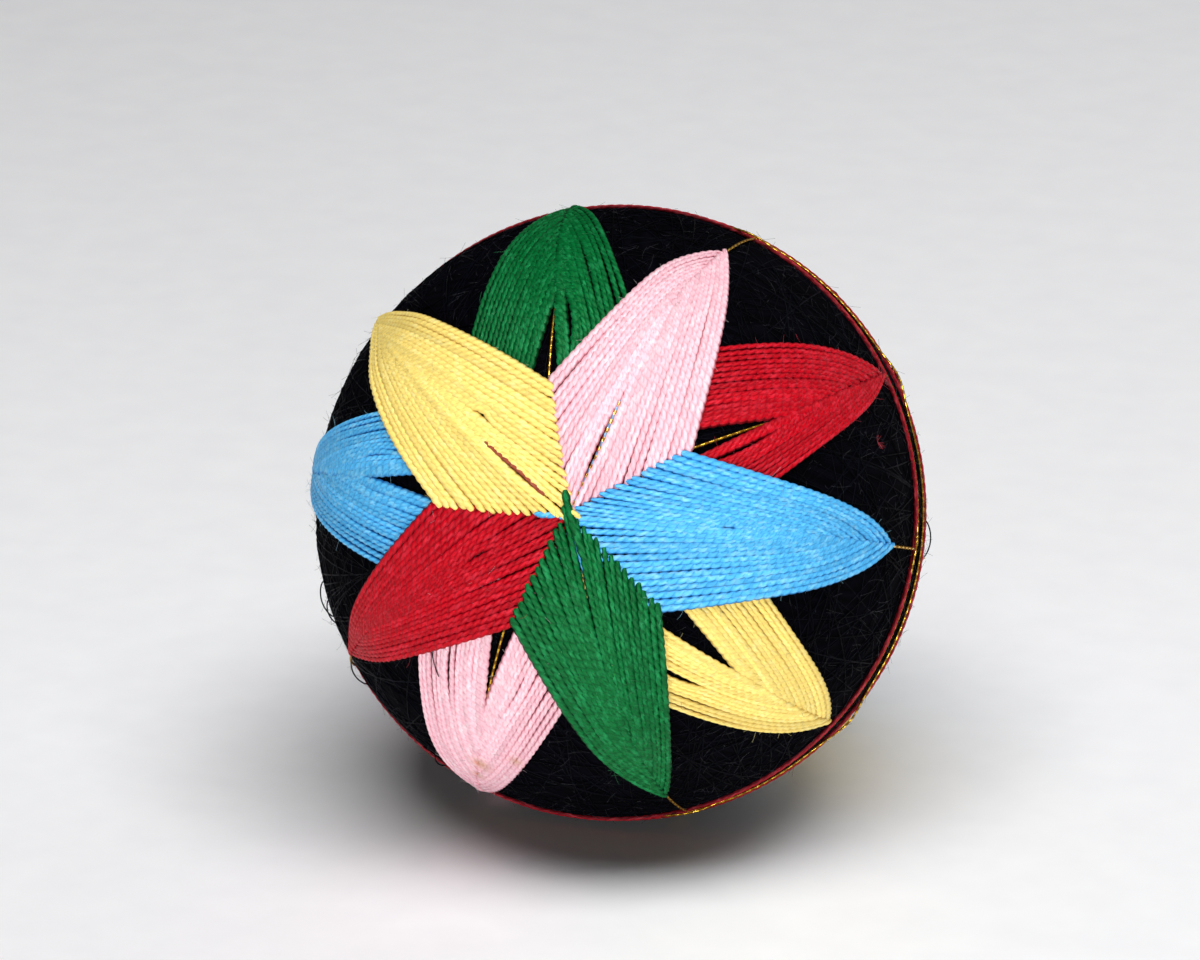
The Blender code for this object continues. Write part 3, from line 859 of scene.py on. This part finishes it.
fibres = []
for _ in range(BLACK_FIBRES):
    way = unit(random.normal(size=3))
    length = (0.3 + 2.2 * random.uniform() ** 2) * MM
    lift = length * random.uniform(0.1, 0.6)
    fibres += loose_fibre(way, BALL_RADIUS + 0.1 * MM, length, lift, BLACK_FIBRE_HALF_WIDTH)
# the black fibres are drawn blue-grey, lighter than their black thread: the lighter tone is painted sheen
fuzz = joined_threads("winding_fuzz", fibres, fibre_finish("black_polyester_fibre", "30303C"))

cotton_fibre = {}
for colour, threads in stitched.items():
    # the cotton fibres take their thread's glint colour, paler than its dye, as painted sheen
    cotton_fibre[colour] = fibre_finish(f"cotton_fibre_{colour}", COTTON[colour][2])
    points = np.concatenate([tube["points"] for tube in threads])
    fibres = []
    for point in random.choice(points, COTTON_FIBRES):
        way = unit(point - CENTRE)
        radius = np.linalg.norm(point - CENTRE) + 0.1 * MM
        length = random.uniform(0.5, 1.8) * MM
        lift = length * random.uniform(0.05, 0.5)
        fibres += loose_fibre(way, radius, length, lift, COTTON_FIBRE_HALF_WIDTH)
    haze = joined_threads(f"{colour}_cotton_fuzz", fibres, cotton_fibre[colour])

# ----------------------------------------------------------------------------------------------------------
# Wear: loops of the black thread that have worked loose and stand off the ball, and tufts of red cotton fibre
# that have caught in the winding.
# ----------------------------------------------------------------------------------------------------------
STRAY_HALF_WIDTH = 0.085 * MM
STRAY_CURL, PETAL_STRAY_CURL = 0.14 * MM, 0.5 * MM
STRAY_LOOPS = (
    # azimuth, colatitude, heading, length and height of each loop on the winding
    (202.7, 75.6, -96.0, 4.6 * MM, 1.1 * MM),
    (205.2, 75.9, -96.0, 3.0 * MM, 0.7 * MM),
    (217.9, 77.4, -99.0, 3.8 * MM, 1.1 * MM),
    (240.7, 81.5, -102.0, 1.9 * MM, 0.9 * MM),
    (51.3, 95.1, -79.0, 2.2 * MM, 0.7 * MM),
    (33.2, 98.0, -82.0, 1.4 * MM, 0.9 * MM),
    (0.5, 100.5, -89.0, 5.0 * MM, 1.2 * MM),
)
PETAL_STRAY = (234.3, 38.2, 200.0, 6.4 * MM, 0.3 * MM)  # one lies across the petals instead
RED_TUFTS = ((18.6, 71.3, 0.1 * MM, 14), (31.2, 84.0, 0.5 * MM, 60))  # azimuth, colatitude, spread and count


def stray_thread(azimuth, colatitude, heading, length, height, curl, base):
    """A loop of thread worked loose: it leaves the ball, stands off by its height and goes back in. heading
    is degrees from the line that runs away from the pole, and base the radius that it leaves."""
    way = place_on_ball(azimuth, colatitude)
    away = unit(place_on_ball(azimuth, colatitude + 0.1) - way)
    around = np.cross(way, away)
    turned = math.radians(heading)
    forward = away * math.cos(turned) + around * math.sin(turned)
    share = np.linspace(0.0, 1.0, 24)
    out = base + 0.8 * height * np.sin(share * math.pi) ** 0.6
    drift = curl * np.sin(share * 5.0 + heading)
    shift = (share - 0.5) * length
    ways = unit(way + shift[:, None] * forward / base + drift[:, None] * np.cross(way, forward) / base)
    return thread(CENTRE + ways * out[:, None], STRAY_HALF_WIDTH, STRAY_HALF_WIDTH, 4, random.uniform())


strays = []
for loop in STRAY_LOOPS:
    strays += stray_thread(*loop, STRAY_CURL, BALL_RADIUS)
strays += stray_thread(*PETAL_STRAY, PETAL_STRAY_CURL, LOWER_RADIUS + THREAD_HALF_HEIGHT)
loose = joined_threads("stray_winding_threads", strays, black_thread)

fibres = []
for azimuth, colatitude, spread, count in RED_TUFTS:
    for _ in range(count):
        way = unit(place_on_ball(azimuth, colatitude) + random.normal(size=3) * spread / BALL_RADIUS)
        fibres += loose_fibre(way, BALL_RADIUS + 0.15 * MM, 0.8 * MM, 0.4 * MM, COTTON_FIBRE_HALF_WIDTH)
speck = joined_threads("red_cotton_specks", fibres, cotton_fibre["red"])

# ----------------------------------------------------------------------------------------------------------
# The floor: a flat sheet of matt white paper. A long soft lamp hangs over the ball, a low narrow one stands
# on each side of the camera, and a weak one lights the floor from behind.
# ----------------------------------------------------------------------------------------------------------
FLOOR_SIZE = 6.0
PAPER_MOTTLE = 6.667 * MM  # the paper's own fibres are far too fine to show
LAMPS = (
    # name, place, width, depth and energy
    ("overhead_softbox", (0.1, -0.25, 0.85), 0.9, 0.4, 8.4),
    ("right_softbox", (0.6, -1.05, 0.045), 0.3, 0.08, 6.9),
    ("left_softbox", (-0.35, -1.1, 0.045), 0.3, 0.08, 3.9),
    ("backdrop_softbox", (0.45, 0.6, 0.5), 0.5, 0.5, 1.1),
)


def matt_white_paper():
    """Uncoated paper, pressed smooth: no gloss, and a faint mottle."""
    material, tree, shader = new_material("matt_white_paper")
    mottle = add_node(tree, "TexNoise", {"Scale": FLOOR_SIZE / PAPER_MOTTLE, "Detail": 2.0})
    tones = {"data_type": "RGBA", 6: srgb("F2F2F4"), 7: srgb("FAFAFB")}
    colour = add_node(tree, "Mix", tones, {0: mottle.outputs["Fac"]})
    tree.links.new(colour.outputs[2], shader.inputs["Base Color"])
    shader.inputs["Roughness"].default_value = 0.9
    return material


bpy.ops.mesh.primitive_plane_add(size=FLOOR_SIZE)
floor = bpy.context.object
floor.name = "floor"
floor.data.materials.append(matt_white_paper())

world = bpy.data.worlds.new("studio")
bpy.context.scene.world = world
world.use_nodes = True
world.node_tree.nodes["Background"].inputs["Color"].default_value = srgb("F7F9FF")
world.node_tree.nodes["Background"].inputs["Strength"].default_value = 0.03
for name, place, width, depth, energy in LAMPS:
    lamp = bpy.data.objects.new(name, bpy.data.lights.new(name, "AREA"))
    lamp.data.shape = "RECTANGLE"
    lamp.data.size = width
    lamp.data.size_y = depth
    lamp.data.energy = energy
    lamp.location = place
    lamp.rotation_euler = (Vector(place) - Vector(CENTRE)).to_track_quat("Z", "Y").to_euler()
    bpy.context.scene.collection.objects.link(lamp)
